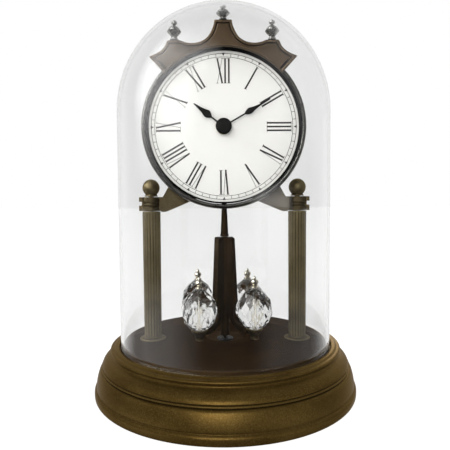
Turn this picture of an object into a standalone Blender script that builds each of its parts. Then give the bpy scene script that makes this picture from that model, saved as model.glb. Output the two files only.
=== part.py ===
"""Anniversary clock under a glass dome, metres, +Z up, dial facing -Y."""
import math

import bmesh
import bpy
from mathutils import Matrix, Vector
from mathutils.geometry import tessellate_polygon

MM = 0.001

# ---- driving dimensions (millimetres, heights above the datum) ----
LIFT = 1.0               # the datum is this far above the table
BASE_R = 76.0            # widest point of the base
FLOOR_Z = 25.3           # floor of the shell that carries plate and dome
PLATE_Z = 28.4           # top of the plate inside the dome
PLATE_R = 58.6
DOME_R, DOME_WALL = 61.1, 1.5
DOME_FOOT_Z, DOME_CENTRE_Z = 25.7, 159.7
GAP = 0.3                # between touching parts
COL_X, COL_Y = 42.5, -4.0
COL_R_BOT, COL_R_TOP = 5.05, 5.25
COL_Z0, COL_Z1 = 29.8, 103.4
COLLAR_Z1 = 111.8
ROD_R, ROD_BORE = 1.5, 1.8
DIAL_Z = 150.0           # centre of dial, bezel and hands
DIAL_Y = -17.0           # face of the dial
DIAL_R = 41.9
BEZEL_R, BEZEL_FRONT, BEZEL_BACK = 45.0, -21.5, -12.0
MOVE_HALF = 27.5         # half side of the square movement
MOVE_Y0, MOVE_Y1 = -14.8, 2.8
IDLER_DROP = 9.6         # centre distance of the motion work
PEND_Y = -6.0            # pendulum axis
ORBIT_R = 21.6           # crystals around the pendulum axis
ORBIT_TURN = 4.5         # degrees off the diagonals, at rest
CRYSTAL_R = 9.95
HANDS_HOUR, HANDS_MINUTE = -52.3, 60.0   # degrees clockwise from twelve

MATERIALS = {
    "bronze": ((0.10, 0.078, 0.045, 1), 0.75, 0.38),
    "bronze_dark": ((0.052, 0.040, 0.026, 1), 0.6, 0.42),
    "crest_bronze": ((0.12, 0.088, 0.062, 1), 0.7, 0.42),
    "gunmetal": ((0.075, 0.07, 0.062, 1), 0.85, 0.3),
    "black": ((0.012, 0.012, 0.012, 1), 0.0, 0.35),
    "dial_white": ((0.86, 0.86, 0.84, 1), 0.0, 0.5),
    "pewter": ((0.32, 0.32, 0.31, 1), 0.9, 0.35),
    "silver": ((0.75, 0.73, 0.66, 1), 1.0, 0.15),
    "glass": ((0.95, 0.97, 0.97, 0.3), 0.0, 0.02),
    "crystal": ((0.97, 0.97, 0.97, 0.5), 0.0, 0.02),
    "rubber": ((0.02, 0.02, 0.02, 1), 0.0, 0.8),
    "brass": ((0.55, 0.40, 0.14, 1), 1.0, 0.25),
    "steel": ((0.5, 0.5, 0.5, 1), 1.0, 0.3),
    "plastic_black": ((0.02, 0.02, 0.022, 1), 0.0, 0.45),
    "plastic_white": ((0.7, 0.7, 0.68, 1), 0.0, 0.45),
    "cell_wrap": ((0.08, 0.10, 0.22, 1), 0.2, 0.35),
    "copper": ((0.45, 0.17, 0.07, 1), 0.9, 0.35),
    "board": ((0.03, 0.16, 0.08, 1), 0.0, 0.45),
}


# ---------------------------------------------------------------- helpers
def clear_scene():
    for ob in list(bpy.data.objects):
        bpy.data.objects.remove(ob, do_unlink=True)


def material(slot):
    mat = bpy.data.materials.get(slot)
    if mat is None:
        colour, metal, rough = MATERIALS[slot]
        mat = bpy.data.materials.new(slot)
        mat.use_nodes = True
        node = mat.node_tree.nodes["Principled BSDF"]
        node.inputs["Base Color"].default_value = colour
        node.inputs["Metallic"].default_value = metal
        node.inputs["Roughness"].default_value = rough
        node.inputs["Alpha"].default_value = colour[3]
    return mat


def make(name, slot, verts, faces, smooth=False):
    """One object from millimetre vertices; normals are made to point out."""
    mesh = bpy.data.meshes.new(name)
    mesh.from_pydata([(x * MM, y * MM, (z + LIFT) * MM) for x, y, z in verts], [], faces)
    bm = bmesh.new()
    bm.from_mesh(mesh)
    bmesh.ops.remove_doubles(bm, verts=bm.verts, dist=1e-7)
    bmesh.ops.recalc_face_normals(bm, faces=bm.faces)
    bm.to_mesh(mesh)
    bm.free()
    for poly in mesh.polygons:
        poly.use_smooth = smooth
    ob = bpy.data.objects.new(name, mesh)
    bpy.context.scene.collection.objects.link(ob)
    if slot:
        mesh.materials.append(material(slot))
    return ob


def revolve_data(profile, segs, axis="z", at=(0, 0, 0)):
    """Closed (radius, height) profile turned about an axis through `at`."""
    verts, rows = [], []
    for r, h in profile:
        row = []
        for k in range(segs if r > 1e-9 else 1):
            a = 2 * math.pi * k / segs
            u, w = r * math.cos(a), r * math.sin(a)
            p = {"z": (u, w, h), "y": (u, h, w), "x": (h, u, w)}[axis]
            row.append(len(verts))
            verts.append(tuple(p[i] + at[i] for i in range(3)))
        rows.append(row)
    faces = []
    for i, row in enumerate(rows):
        nxt = rows[(i + 1) % len(rows)]
        for k in range(segs):
            quad = [row[k % len(row)], row[(k + 1) % len(row)],
                    nxt[(k + 1) % len(nxt)], nxt[k % len(nxt)]]
            face = list(dict.fromkeys(quad))
            if len(face) > 2:
                faces.append(face)
    return verts, faces


def revolve(name, slot, profile, segs=48, axis="z", at=(0, 0, 0), smooth=True):
    ob = make(name, slot, *revolve_data(profile, segs, axis, at), smooth)
    return ob


def prism(name, slot, loops, low, high, axis="y", turn=0.0, at=(0, 0, 0), smooth=False):
    """Flat shape (outer loop first, then holes) extruded along an axis.
    Loop points are (x, z) for axis y and (x, y) for axis z; turn spins them."""
    pts = [p for loop in loops for p in loop]
    tris = tessellate_polygon([[Vector((p[0], p[1], 0)) for p in loop] for loop in loops])
    n = len(pts)
    c, s = math.cos(math.radians(turn)), math.sin(math.radians(turn))

    def place(p, h):
        v = (p[0], h, p[1]) if axis == "y" else (p[0], p[1], h)
        v = (v[0] * c - v[1] * s, v[0] * s + v[1] * c, v[2])
        return tuple(v[i] + at[i] for i in range(3))

    verts = [place(p, low) for p in pts] + [place(p, high) for p in pts]
    faces = [list(t) for t in tris] + [[i + n for i in reversed(t)] for t in tris]
    start = 0
    for loop in loops:
        m = len(loop)
        for k in range(m):
            a, b = start + k, start + (k + 1) % m
            faces.append([a, b, b + n, a + n])
        start += m
    return make(name, slot, verts, faces, smooth)


def box(name, slot, lo, hi):
    loop = [(lo[0], lo[2]), (hi[0], lo[2]), (hi[0], hi[2]), (lo[0], hi[2])]
    return prism(name, slot, [loop], lo[1], hi[1])


def circle(r, n, cx=0.0, cz=0.0, phase=0.0):
    return [(cx + r * math.cos(2 * math.pi * k / n + phase),
             cz + r * math.sin(2 * math.pi * k / n + phase)) for k in range(n)]


def combine(ob, tool, mode):
    """Exact Boolean, applied, tool removed."""
    mod = ob.modifiers.new("b", "BOOLEAN")
    mod.operation, mod.solver, mod.object = mode, "EXACT", tool
    bpy.context.view_layer.update()
    graph = bpy.context.evaluated_depsgraph_get()
    mesh = bpy.data.meshes.new_from_object(ob.evaluated_get(graph))
    ob.modifiers.clear()
    ob.data = mesh
    bpy.data.objects.remove(tool, do_unlink=True)
    bm = bmesh.new()
    bm.from_mesh(mesh)
    bmesh.ops.remove_doubles(bm, verts=bm.verts, dist=1e-6)
    bm.to_mesh(mesh)
    bm.free()
    return ob


def cut(ob, tool):
    return combine(ob, tool, "DIFFERENCE")


def join(ob, tool):
    return combine(ob, tool, "UNION")


def arc(cx, cz, r, a0, a1, n):
    return [(cx + r * math.cos(math.radians(a0 + (a1 - a0) * k / n)),
             cz + r * math.sin(math.radians(a0 + (a1 - a0) * k / n))) for k in range(n + 1)]




def lifted(point):
    return (Vector(point) + Vector((0, 0, LIFT))) * MM


def turn_origin(ob, point):
    """Put the object's origin on its joint axis without moving the mesh."""
    p = lifted(point)
    ob.data.transform(Matrix.Translation(-p))
    ob.location = p


def pivot(name, point):
    ob = bpy.data.objects.new(name, None)
    ob.location = lifted(point)
    ob.empty_display_size = 0.01
    bpy.context.scene.collection.objects.link(ob)
    return ob


def carry(parent, children):
    for ob in children:
        ob.parent = parent
        ob.matrix_parent_inverse = parent.matrix_basis.inverted()


# ---------------------------------------------------------------- base
def base():
    outer = [(74.4, -0.7), (75.5, -0.5), (76.0, 0.4), (76.0, 3.0), (75.4, 4.4), (74.7, 4.9), (74.9, 5.4),
             (74.7, 8.0), (73.8, 11.8), (72.4, 14.8), (71.5, 15.2), (72.1, 15.9), (71.2, 16.6),
             (71.4, 17.6), (70.4, 19.4), (67.8, 21.5), (65.8, 22.8), (65.9, 24.1), (66.9, 25.0),
             (66.3, 25.9), (64.8, 26.4), (63.8, 27.0), (62.4, 27.1), (61.7, 26.7)]
    inner = [(61.6, FLOOR_Z), (20.0, FLOOR_Z), (20.0, FLOOR_Z - 2.2), (62.0, FLOOR_Z - 2.2),
             (69.4, 14.6), (71.8, 6.0)]
    shell = revolve("base_shell", "bronze", outer + inner + [(72.2, -0.6)], 40)
    plate_prof = [(2.2, PLATE_Z), (PLATE_R - 0.8, PLATE_Z), (PLATE_R - 0.2, PLATE_Z - 0.3),
                  (PLATE_R, PLATE_Z - 0.9), (PLATE_R, FLOOR_Z + GAP), (2.2, FLOOR_Z + GAP)]
    plate = revolve("top_plate", "bronze_dark", plate_prof, 36)
    for sx in (-1, 1):
        for ob, z0, z1 in ((shell, 20, 27), (plate, 24, 30)):
            cut(ob, prism("tool", None, [circle(ROD_BORE, 16)], z0, z1, "z",
                          at=(sx * COL_X, COL_Y, 0)))
    revolve("bottom_cover", "plastic_black", [(0, 1.1), (71.2, 1.1), (71.2, 2.4), (0, 2.4)], 40)
    for k in range(3):
        a = math.radians(-90 + 120 * k)
        revolve("foot_pad_%d" % (k + 1), "rubber",
                [(0, -LIFT), (4.6, -LIFT), (5.2, -0.6), (5.2, 0.8), (0, 0.8)], 16,
                at=(60 * math.cos(a), 60 * math.sin(a), 0))
    cup = [(1.3, PLATE_Z + GAP), (4.7, PLATE_Z + GAP), (4.8, PLATE_Z + 0.7), (4.4, PLATE_Z + 1.3),
           (3.6, PLATE_Z + 1.5), (2.4, PLATE_Z + 1.1), (1.3, PLATE_Z + 0.8)]
    revolve("guide_cup", "black", cup, 20, at=(0, PEND_Y, 0))


def dome():
    n = 8
    prof = [(DOME_R, DOME_FOOT_Z)]
    prof += [(max(DOME_R * math.cos(math.pi / 2 * k / n), 0), DOME_CENTRE_Z + DOME_R
              * math.sin(math.pi / 2 * k / n)) for k in range(n)]
    prof.append((0, DOME_CENTRE_Z + DOME_R))
    ri = DOME_R - DOME_WALL
    prof.append((0, DOME_CENTRE_Z + ri))
    prof += [(ri * math.cos(math.pi / 2 * k / n), DOME_CENTRE_Z + ri
              * math.sin(math.pi / 2 * k / n)) for k in reversed(range(n))]
    prof.append((ri, DOME_FOOT_Z))
    return revolve("glass_dome", "glass", prof, 36)


# ---------------------------------------------------------------- columns
def fluted(r, n=18):
    pts = []
    for k in range(n):
        a = 2 * math.pi * k / n
        for f, d in ((-0.34, 0.0), (0.34, 0.0), (0.42, -0.30), (0.58, -0.30)):
            pts.append(((r + d) * math.cos(a + f * 2 * math.pi / n * 0.9),
                        (r + d) * math.sin(a + f * 2 * math.pi / n * 0.9)))
    return pts


def column(side, sx):
    x = sx * COL_X
    outer_lo, outer_hi = fluted(COL_R_BOT), fluted(COL_R_TOP)
    bore = circle(ROD_BORE, 16)
    ob = prism("column_" + side, "bronze", [outer_lo, bore], COL_Z0, COL_Z1, "z",
               at=(x, COL_Y, 0))
    grow = COL_R_TOP / COL_R_BOT
    for v in ob.data.vertices:
        dx, dy = v.co.x - x * MM, v.co.y - COL_Y * MM
        if v.co.z > 0.1 and math.hypot(dx, dy) > 3 * MM:
            v.co.x, v.co.y = x * MM + dx * grow, COL_Y * MM + dy * grow
    revolve("foot_flange_" + side, "bronze",
            [(ROD_BORE, PLATE_Z + GAP), (7.5, PLATE_Z + GAP), (7.6, PLATE_Z + 0.6),
             (7.1, PLATE_Z + 1.1), (ROD_BORE, PLATE_Z + 1.1)], 24, at=(x, COL_Y, 0))
    revolve("tie_rod_" + side, "steel", [(0, 20.6), (ROD_R, 20.6), (ROD_R, 109.6), (0, 109.6)],
            14, at=(x, COL_Y, 0))
    prism("rod_nut_" + side, "steel", [circle(3.2, 6), circle(ROD_R + 0.05, 14)],
          FLOOR_Z - 2.2 - GAP - 1.8, FLOOR_Z - 2.2 - GAP, "z", at=(x, COL_Y, 0))
    ball = [(0, 110.0), (1.5, 110.0), (1.5, COLLAR_Z1 + GAP), (3.7, COLLAR_Z1 + GAP),
            (3.5, 112.7), (3.2, 113.0)]
    ball += [(4.95 * math.cos(math.radians(a)), 117.1 + 4.95 * math.sin(math.radians(a)))
             for a in (-50, -25, 0, 25, 50, 70)]
    ball.append((0, 117.1 + 4.95))
    revolve("ball_finial_" + side, "bronze", ball, 20, at=(x, COL_Y, 0))


def bracket(side, sx):
    """Flat wing from the column collar to the case, seen in the x-z plane."""
    shape = [(49.4, 103.7), (49.4, 106.9), (47.8, 106.9), (47.8, 109.1), (49.4, 109.1),
             (49.4, COLLAR_Z1), (35.6, COLLAR_Z1), (32.6, 117.0), (31.2, 120.2), (22.0, 121.6),
             (14.0, 117.0), (14.0, 111.6), (20.6, 108.8), (33.9, 103.2), (36.4, 103.2),
             (36.8, 103.7)]
    loop = [(sx * x, z) for x, z in shape]
    ob = prism("bracket_" + side, "bronze", [loop], COL_Y - 2.0, COL_Y + 2.0)
    ring = [(0, 103.7), (5.25, 103.7), (5.25, 106.2), (4.8, 106.2), (4.8, 106.8), (5.25, 106.8),
            (5.25, 108.0), (4.8, 108.0), (4.8, 108.6), (5.25, 108.6), (5.25, COLLAR_Z1),
            (0, COLLAR_Z1)]
    join(ob, revolve("tool", None, ring, 20, at=(sx * COL_X, COL_Y, 0), smooth=False))
    cut(ob, prism("tool", None, [circle(ROD_BORE, 16)], 100, 115, "z",
                  at=(sx * COL_X, COL_Y, 0)))
    a = math.radians(-90 + sx * 40)
    cx, cz = 40.6 * math.cos(a), DIAL_Z + 40.6 * math.sin(a)
    cut(ob, prism("tool", None, [circle(1.1, 12, cx, cz)], COL_Y - 5, COL_Y + 5))
    revolve("case_screw_" + side, "steel",
            [(0, COL_Y - 1.9), (0.95, COL_Y - 1.9), (0.95, COL_Y + 2.0 + GAP),
             (1.9, COL_Y + 2.0 + GAP), (1.9, COL_Y + 2.9), (1.4, COL_Y + 3.4),
             (0, COL_Y + 3.5)], 14, "y", (cx, 0, cz))


# ---------------------------------------------------------------- dial side
def bezel_and_dial():
    at = (0, 0, DIAL_Z)
    revolve("bezel_ring", "gunmetal",
            [(42.4, BEZEL_BACK), (44.6, BEZEL_BACK), (45.0, -13.0), (45.0, -18.6), (44.8, -20.2),
             (44.2, -21.2), (43.5, BEZEL_FRONT), (42.9, -21.2), (42.5, -20.4), (42.4, -19.6)],
            44, "y", at)
    revolve("bezel_liner", "black",
            [(41.2, DIAL_Y - GAP), (42.1, DIAL_Y - GAP), (42.1, -20.3), (41.8, -20.5)], 44, "y", at)
    revolve("dial_plate", "dial_white",
            [(3.3, DIAL_Y), (DIAL_R, DIAL_Y), (DIAL_R, DIAL_Y + 0.6), (3.3, DIAL_Y + 0.6)],
            44, "y", at, smooth=False)
    drum = revolve("case_drum", "plastic_black",
                   [(32.0, -16.1), (42.1, -16.1), (42.1, -6.3), (39.3, -6.3), (39.3, -7.6),
                    (40.8, -7.6), (40.8, -15.0), (32.0, -15.0)], 36, "y", at, smooth=False)
    cut(drum, box("tool", None, (-6, -13.0, 100), (6, 0, 116)))


def crest():
    half = [(4.65, 205.2), (5.1, 202.4), (5.9, 200.3), (6.95, 198.2), (8.2, 196.4), (9.7, 195.1),
            (12.3, 193.75), (15.1, 193.2), (17.6, 193.1), (20.3, 193.6), (22.8, 194.6),
            (29.3, 194.6), (29.9, 193.8), (30.9, 191.5), (32.1, 190.1), (33.6, 188.8),
            (36.2, 187.4), (39.2, 186.2), (31.6, 177.9)]
    r, cz = 42.4, DIAL_Z - 0.6
    a0 = math.degrees(math.atan2(177.9 - cz, 31.6))
    lower = arc(0, cz, r, a0 + 1.5, 178.5 - a0, 22)
    loop = half + lower + [(-x, z) for x, z in reversed(half)]
    prism("crest_panel", "crest_bronze", [loop], -24.6, -21.8)
    strap = arc(0, DIAL_Z, 48.6, 76, 104, 6) + arc(0, DIAL_Z, 42.6, 104, 76, 6)
    ob = prism("crest_strap", "steel", [strap], -11.7, -10.3)
    for deg in (84, 96):
        a = math.radians(deg)
        x, z = 47.0 * math.cos(a), DIAL_Z + 47.0 * math.sin(a)
        join(ob, revolve("tool", None, [(0, -21.5), (1.7, -21.5), (1.7, -11.0), (0, -11.0)], 14,
                         "y", (x, 0, z), smooth=False))
    finial_prof = [(0, 0), (2.2, 0), (2.2, 0.6), (1.5, 1.6), (2.3, 2.8), (3.75, 4.9), (3.2, 5.3),
                   (2.7, 6.6), (0.7, 8.1), (0.65, 8.6), (1.65, 9.8), (1.0, 10.8), (0, 11.4)]
    for name, x, z, s in (("left", -26.0, 194.6, 0.93), ("right", 26.0, 194.6, 0.93),
                          ("centre", 0.0, 205.2, 0.70)):
        prof = [(r * (0.97 if name == "centre" else 1.0), h * s) for r, h in finial_prof]
        revolve("finial_" + name, "pewter", prof, 14, at=(x, -23.2, z + GAP))


# ---------------------------------------------------------------- movement
def gear(n, module, bore=None, fill=0.34):
    pitch, add, ded = n * module / 2, 0.75 * module, 1.15 * module
    pts = []
    for k in range(n):
        a = 2 * math.pi * k / n
        step = 2 * math.pi / n
        for f, r in ((-fill * 0.62, pitch - ded), (-fill * 0.26, pitch + add),
                     (fill * 0.26, pitch + add), (fill * 0.62, pitch - ded)):
            pts.append((r * math.cos(a + f * step), r * math.sin(a + f * step)))
    loops = [pts]
    if bore:
        loops.append(circle(bore, 16))
    return loops


def movement():
    lo, hi = DIAL_Z - MOVE_HALF, DIAL_Z + MOVE_HALF
    case = box("movement_case", "plastic_black", (-MOVE_HALF, MOVE_Y0, lo),
               (MOVE_HALF, MOVE_Y1, hi))
    bush = revolve("tool", None, [(0, -18.2), (2.95, -18.2), (2.95, -14.0), (0, -14.0)], 24, "y",
                   (0, 0, DIAL_Z), smooth=False)
    join(case, bush)
    join(case, box("tool", None, (-9.5, PEND_Y - 5, 112.2), (9.5, PEND_Y + 5, 123.0)))
    cut(case, prism("tool", None, [circle(2.1, 20)], 110, 118, "z", at=(0, PEND_Y, 0)))
    cut(case, box("tool", None, (-26, -13.4, 124), (26, 6, 158.8)))
    cut(case, box("tool", None, (-26.4, -12.4, 160.4), (26.4, 6, 175.8)))
    cut(case, prism("tool", None, [circle(2.3, 20, 0, DIAL_Z)], -20, -12))
    box("circuit_board", "board", (8, -6.0, 126), (24, -5.0, 157))
    revolve("coil", "copper", [(0, -24), (1.2, -24), (1.2, -22), (2.8, -22), (2.8, -8), (1.2, -8),
                               (1.2, -6), (0, -6)], 16, "x", (0, -9.0, 128.2))
    cover = prism("movement_cover", "plastic_black",
                  [[(-27.4, 122.6), (27.4, 122.6), (27.4, 159.0), (-27.4, 159.0)],
                   circle(2.0, 20, 0, DIAL_Z - IDLER_DROP)], MOVE_Y1 + GAP, MOVE_Y1 + GAP + 1.2)
    return case, cover


def motion_work():
    z = DIAL_Z - IDLER_DROP
    minute = prism("minute_arbor", "brass", gear(12, 0.4), -11.2, -10.4, at=(0, 0, DIAL_Z))
    join(minute, revolve("tool", None, [(0, -20.0), (1.35, -20.0), (1.35, -8.0), (0, -8.0)], 20,
                         "y", (0, 0, DIAL_Z), smooth=False))
    hour = prism("hour_wheel", "plastic_white", gear(40, 0.384, 1.45, 0.36), -13.1, -12.3,
                 turn=0, at=(0, 0, DIAL_Z))
    tube = prism("tool", None, [circle(2.15, 24), circle(1.45, 16)], -18.9, -12.7,
                 at=(0, 0, DIAL_Z))
    join(hour, tube)
    idler = prism("idler_wheel", "plastic_white", spun(gear(36, 0.4), 90 + 5.0), -11.3, -10.3,
                  at=(0, 0, z))
    join(idler, prism("tool", None, spun(gear(10, 0.384), 90 + 18.0), -13.1, -10.8,
                      at=(0, 0, z)))
    join(idler, revolve("tool", None, [(0, -10.6), (1.6, -10.6), (1.6, 5.2), (0, 5.2)], 18, "y",
                        (0, 0, z), smooth=False))
    knob = prism("set_knob", "plastic_black", [knurled(4.6, 20)], 5.5, 9.5, at=(0, 0, z))
    return minute, hour, idler, knob


def spun(loops, deg):
    c, s = math.cos(math.radians(deg)), math.sin(math.radians(deg))
    return [[(x * c - y * s, x * s + y * c) for x, y in loop] for loop in loops]


def knurled(r, n):
    return [((r if k % 2 else r - 0.35) * math.cos(math.pi * k / n),
             (r if k % 2 else r - 0.35) * math.sin(math.pi * k / n)) for k in range(2 * n)]


def cell():
    at = (0, -4.6, 168.1)
    ob = revolve("battery_cell", "cell_wrap",
                 [(0, -24.6), (6.6, -24.6), (7.05, -24.2), (7.05, 23.4), (6.6, 23.8), (2.7, 23.8),
                  (2.7, 24.9), (0, 24.9)], 20, "x", at)
    box("contact_plus", "silver", (25.2, -9.0, 163.5), (25.9, -1.0, 172.5))
    box("contact_minus", "silver", (-25.9, -9.0, 163.5), (-24.9, -1.0, 172.5))
    return ob


def hand_shape(length, bulge_at, bulge, tip, hub, hole):
    """Leaf-on-a-stem hand pointing to twelve, hub with a hole."""
    right = [(0.42, hub * 0.97), (0.40, bulge_at - 3.4), (0.9, bulge_at - 3.0),
             (bulge * 0.78, bulge_at - 1.9), (bulge, bulge_at - 0.6), (bulge * 0.92, bulge_at + 0.5),
             (bulge * 0.6, bulge_at + 2.2), (bulge * 0.40, bulge_at + 4.2),
             (tip, bulge_at + 7.0), (tip * 0.8, length - 0.9)]
    outline = right + [(0, length)] + [(-x, z) for x, z in reversed(right)]
    a = math.degrees(math.acos(0.42 / hub))
    start = 180 - a
    ring = [(hub * math.cos(math.radians(d)), hub * math.sin(math.radians(d)))
            for d in [start + (360 - (start - a)) * k / 24 for k in range(1, 24)]]
    return [outline + ring, circle(hole, 16)]


def hands():
    hour = prism("hour_hand", "black",
                 spun(hand_shape(20.8, 12.0, 2.15, 0.45, 3.5, 2.22), -HANDS_HOUR),
                 -18.7, -18.35, at=(0, 0, DIAL_Z))
    minute = prism("minute_hand", "black",
                   spun(hand_shape(29.6, 17.0, 1.75, 0.40, 3.5, 1.42), -HANDS_MINUTE),
                   -19.6, -19.25, at=(0, 0, DIAL_Z))
    cap = revolve("hand_cap", "black",
                  [(0, -20.3), (3.6, -20.3), (4.35, -20.5), (4.4, -20.9), (3.8, -21.3),
                   (2.2, -21.6), (0, -21.7)], 24, "y", (0, 0, DIAL_Z))
    revolve("hand_nut", "brass", [(3.05, -18.1), (4.2, -18.1), (4.2, -17.3), (3.05, -17.3)], 24,
            "y", (0, 0, DIAL_Z), smooth=False)
    return hour, minute, cap


# ---------------------------------------------------------------- pendulum
def pendulum():
    at = (0, PEND_Y, 0)
    parts = [revolve("pendulum_stem", "bronze_dark",
                     [(0, 88.9), (2.4, 88.9), (2.4, 90.2), (2.15, 90.5), (2.12, 92.4),
                      (1.6, 104.0), (1.5, 108.0), (1.5, 117.0), (0, 117.0)], 20, at=at)]
    right = [(6.0, 88.3), (6.6, 87.6), (8.6, 52.6), (8.8, 51.6), (7.8, 50.6), (7.1, 47.0),
             (7.2, 43.5), (8.2, 40.8), (11.0, 38.9), (16.9, 37.9), (16.9, 34.8), (12.6, 35.0),
             (8.2, 37.1), (5.0, 40.7), (2.2, 45.5)]
    loop = right + [(-x, z) for x, z in reversed(right)]
    body = prism("pendulum_body", "bronze_dark", [loop], -1.35, 1.35, turn=45 + ORBIT_TURN, at=at)
    join(body, prism("tool", None, [loop], -1.35, 1.35, turn=135 + ORBIT_TURN, at=at))
    rod = [(0, 29.2), (0.8, 29.2), (0.8, 31.0), (2.3, 31.0), (2.45, 31.4), (2.45, 88.6), (0, 88.6)]
    parts.append(join(body, revolve("tool", None, rod, 20, at=at, smooth=False)))
    for k in range(4):
        a = math.radians(45 + ORBIT_TURN + 90 * k)
        p = (ORBIT_R * math.cos(a), PEND_Y + ORBIT_R * math.sin(a), 0)
        parts += crystal_set(k + 1, p)
    return parts


def crystal_set(k, at):
    cup = revolve("cup_%d" % k, "bronze_dark",
                  [(0, 32.6), (2.3, 32.6), (2.3, 35.0), (3.1, 35.8), (4.7, 38.3), (4.5, 38.7),
                   (4.1, 38.6), (2.0, 37.6), (0, 37.5)], 14, at=at)
    rows = [(2.2, 38.1), (6.2, 40.3), (9.0, 44.4), (CRYSTAL_R, 49.4), (9.4, 52.8), (7.2, 56.6),
            (4.0, 59.6), (2.3, 61.0)]
    stone = revolve("crystal_%d" % k, "crystal", [(0, 38.1)] + rows + [(0, 61.0)], 12, at=at,
                    smooth=False)
    cap = revolve("crystal_cap_%d" % k, "silver",
                  [(0, 61.3), (2.1, 61.3), (2.2, 62.0), (1.3, 62.7), (1.7, 63.3), (2.2, 64.5),
                   (1.8, 65.9), (0.9, 66.6), (0.6, 67.4), (0, 67.9)], 12, at=at)
    return [cup, stone, cap]


def build():
    clear_scene()
    base()
    turn_origin(dome(), (0, 0, DOME_FOOT_Z))
    for side, sx in (("left", -1), ("right", 1)):
        column(side, sx)
        bracket(side, sx)
    bezel_and_dial()
    crest()
    movement()
    minute_arbor, hour_wheel, idler, knob = motion_work()
    hour_hand, minute_hand, cap = hands()
    centre = (0, DIAL_Y, DIAL_Z)
    carry(pivot("hour_pivot", centre), [hour_wheel, hour_hand])
    carry(pivot("minute_pivot", centre), [minute_arbor, minute_hand, cap])
    carry(pivot("setting_pivot", (0, DIAL_Y, DIAL_Z - IDLER_DROP)), [idler, knob])
    turn_origin(cell(), (0, MOVE_Y1, 168.1))
    carry(pivot("pendulum_pivot", (0, PEND_Y, 88.0)), pendulum())


build()
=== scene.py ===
"""Looks of the anniversary clock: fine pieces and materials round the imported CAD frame."""
import math

import bmesh
import bpy
from mathutils import Matrix, Vector


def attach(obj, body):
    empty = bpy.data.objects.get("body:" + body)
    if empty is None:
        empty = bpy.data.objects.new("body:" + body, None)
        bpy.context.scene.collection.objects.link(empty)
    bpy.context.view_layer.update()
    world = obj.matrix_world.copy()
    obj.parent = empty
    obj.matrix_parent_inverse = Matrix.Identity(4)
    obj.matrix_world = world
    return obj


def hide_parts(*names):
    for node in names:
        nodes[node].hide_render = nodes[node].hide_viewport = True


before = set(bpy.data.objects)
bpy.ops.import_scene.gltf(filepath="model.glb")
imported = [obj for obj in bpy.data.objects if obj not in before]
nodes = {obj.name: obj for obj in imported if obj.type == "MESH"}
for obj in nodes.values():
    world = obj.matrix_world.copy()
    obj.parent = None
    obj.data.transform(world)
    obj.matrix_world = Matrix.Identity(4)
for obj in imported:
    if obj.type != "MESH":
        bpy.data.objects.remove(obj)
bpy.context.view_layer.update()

# ---- shared sizes in millimetres, heights above the datum ----
MM = 0.001
LIFT = 1.0                                    # the datum is this far above the table
PLATE_Z, PLATE_R = 28.4, 58.6                 # top of the plate inside the dome
DOME_R, DOME_WALL, DOME_FOOT, DOME_CENTRE = 61.1, 1.5, 25.7, 159.7
COL_X, COL_Y = 42.5, -4.0
COL_Z0, COL_Z1, COL_R0, COL_R1 = 29.8, 103.4, 5.05, 5.25
FLUTES, FLUTE_STEPS = 18, 10
BALL_R, BALL_Z = 4.95, 117.1
DIAL_Z, DIAL_Y, DIAL_R = 150.0, -17.0, 41.9   # centre height, front face, radius
CREST_R, CREST_BACK, CREST_FRONT = 42.4, -21.8, -24.6
CREST_CENTRE = DIAL_Z - 0.6                   # centre of the crest's lower round
URN_X, URN_Y = 26.0, -23.2
HOUR_ANGLE, MINUTE_ANGLE = -52.3, 60.0        # degrees clockwise from twelve
PEND_Y, ORBIT_R, ORBIT_TURN = -6.0, 21.6, 4.5
FACETS = 9
COVER_BACK, KNOB_Z = 4.3, 140.4               # rear of the movement cover, setting knob
CELL_Y, CELL_Z = -4.6, 168.1
SINK = 0.02                                   # how far print reaches into the dial
SIDES = (("left", -1), ("right", 1))


# ------------------------------------------------------------------ node helpers
def new_material(name):
    """A material with its node tree and its one shader."""
    mat = bpy.data.materials.new(name)
    mat.use_nodes = True
    tree = mat.node_tree
    return mat, tree, tree.nodes["Principled BSDF"]


def put(tree, kind, **inputs):
    """Adds a node and sets or links its inputs, named by socket with _ for a space."""
    node = tree.nodes.new(kind)
    for key, value in inputs.items():
        if key.startswith("p_"):
            setattr(node, key[2:], value)
            continue
        name = int(key[1:]) if key[0] == "i" and key[1:].isdigit() else key.replace("_", " ")
        if isinstance(value, bpy.types.NodeSocket):
            tree.links.new(value, node.inputs[name])
        else:
            node.inputs[name].default_value = value
    return node


def noise(tree, scale, detail=3.0, rough=0.55, stretch=None):
    """Noise in object space; stretch scales the three axes."""
    coord = tree.nodes.new("ShaderNodeTexCoord").outputs["Object"]
    if stretch:
        coord = put(tree, "ShaderNodeMapping", Vector=coord, Scale=stretch).outputs[0]
    return put(tree, "ShaderNodeTexNoise", Vector=coord, Scale=scale, Detail=detail,
               Roughness=rough).outputs["Fac"]


def remap(tree, value, a, b, c=0.0, d=1.0):
    """Takes the span a to b onto c to d, held at both ends."""
    return put(tree, "ShaderNodeMapRange", Value=value, From_Min=a, From_Max=b,
               To_Min=c, To_Max=d).outputs["Result"]


def blend_colour(tree, fac, one, two):
    """Mixes two colours, each a plain triple or a socket."""
    node = tree.nodes.new("ShaderNodeMix")
    node.data_type = "RGBA"
    for name, value in (("Factor", fac), ("A", one), ("B", two)):
        socket = [s for s in node.inputs if s.name == name and s.enabled][0]
        if isinstance(value, bpy.types.NodeSocket):
            tree.links.new(value, socket)
        elif name == "Factor":
            socket.default_value = value
        else:
            socket.default_value = (*value, 1) if len(value) == 3 else value
    return [s for s in node.outputs if s.enabled][0]


def set_plain(shader, metallic=0.0, **values):
    """Sets values that are the same all over on the shader's own sockets."""
    shader.inputs["Metallic"].default_value = metallic
    for key, value in values.items():
        shader.inputs[key.replace("_", " ")].default_value = value


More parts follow.
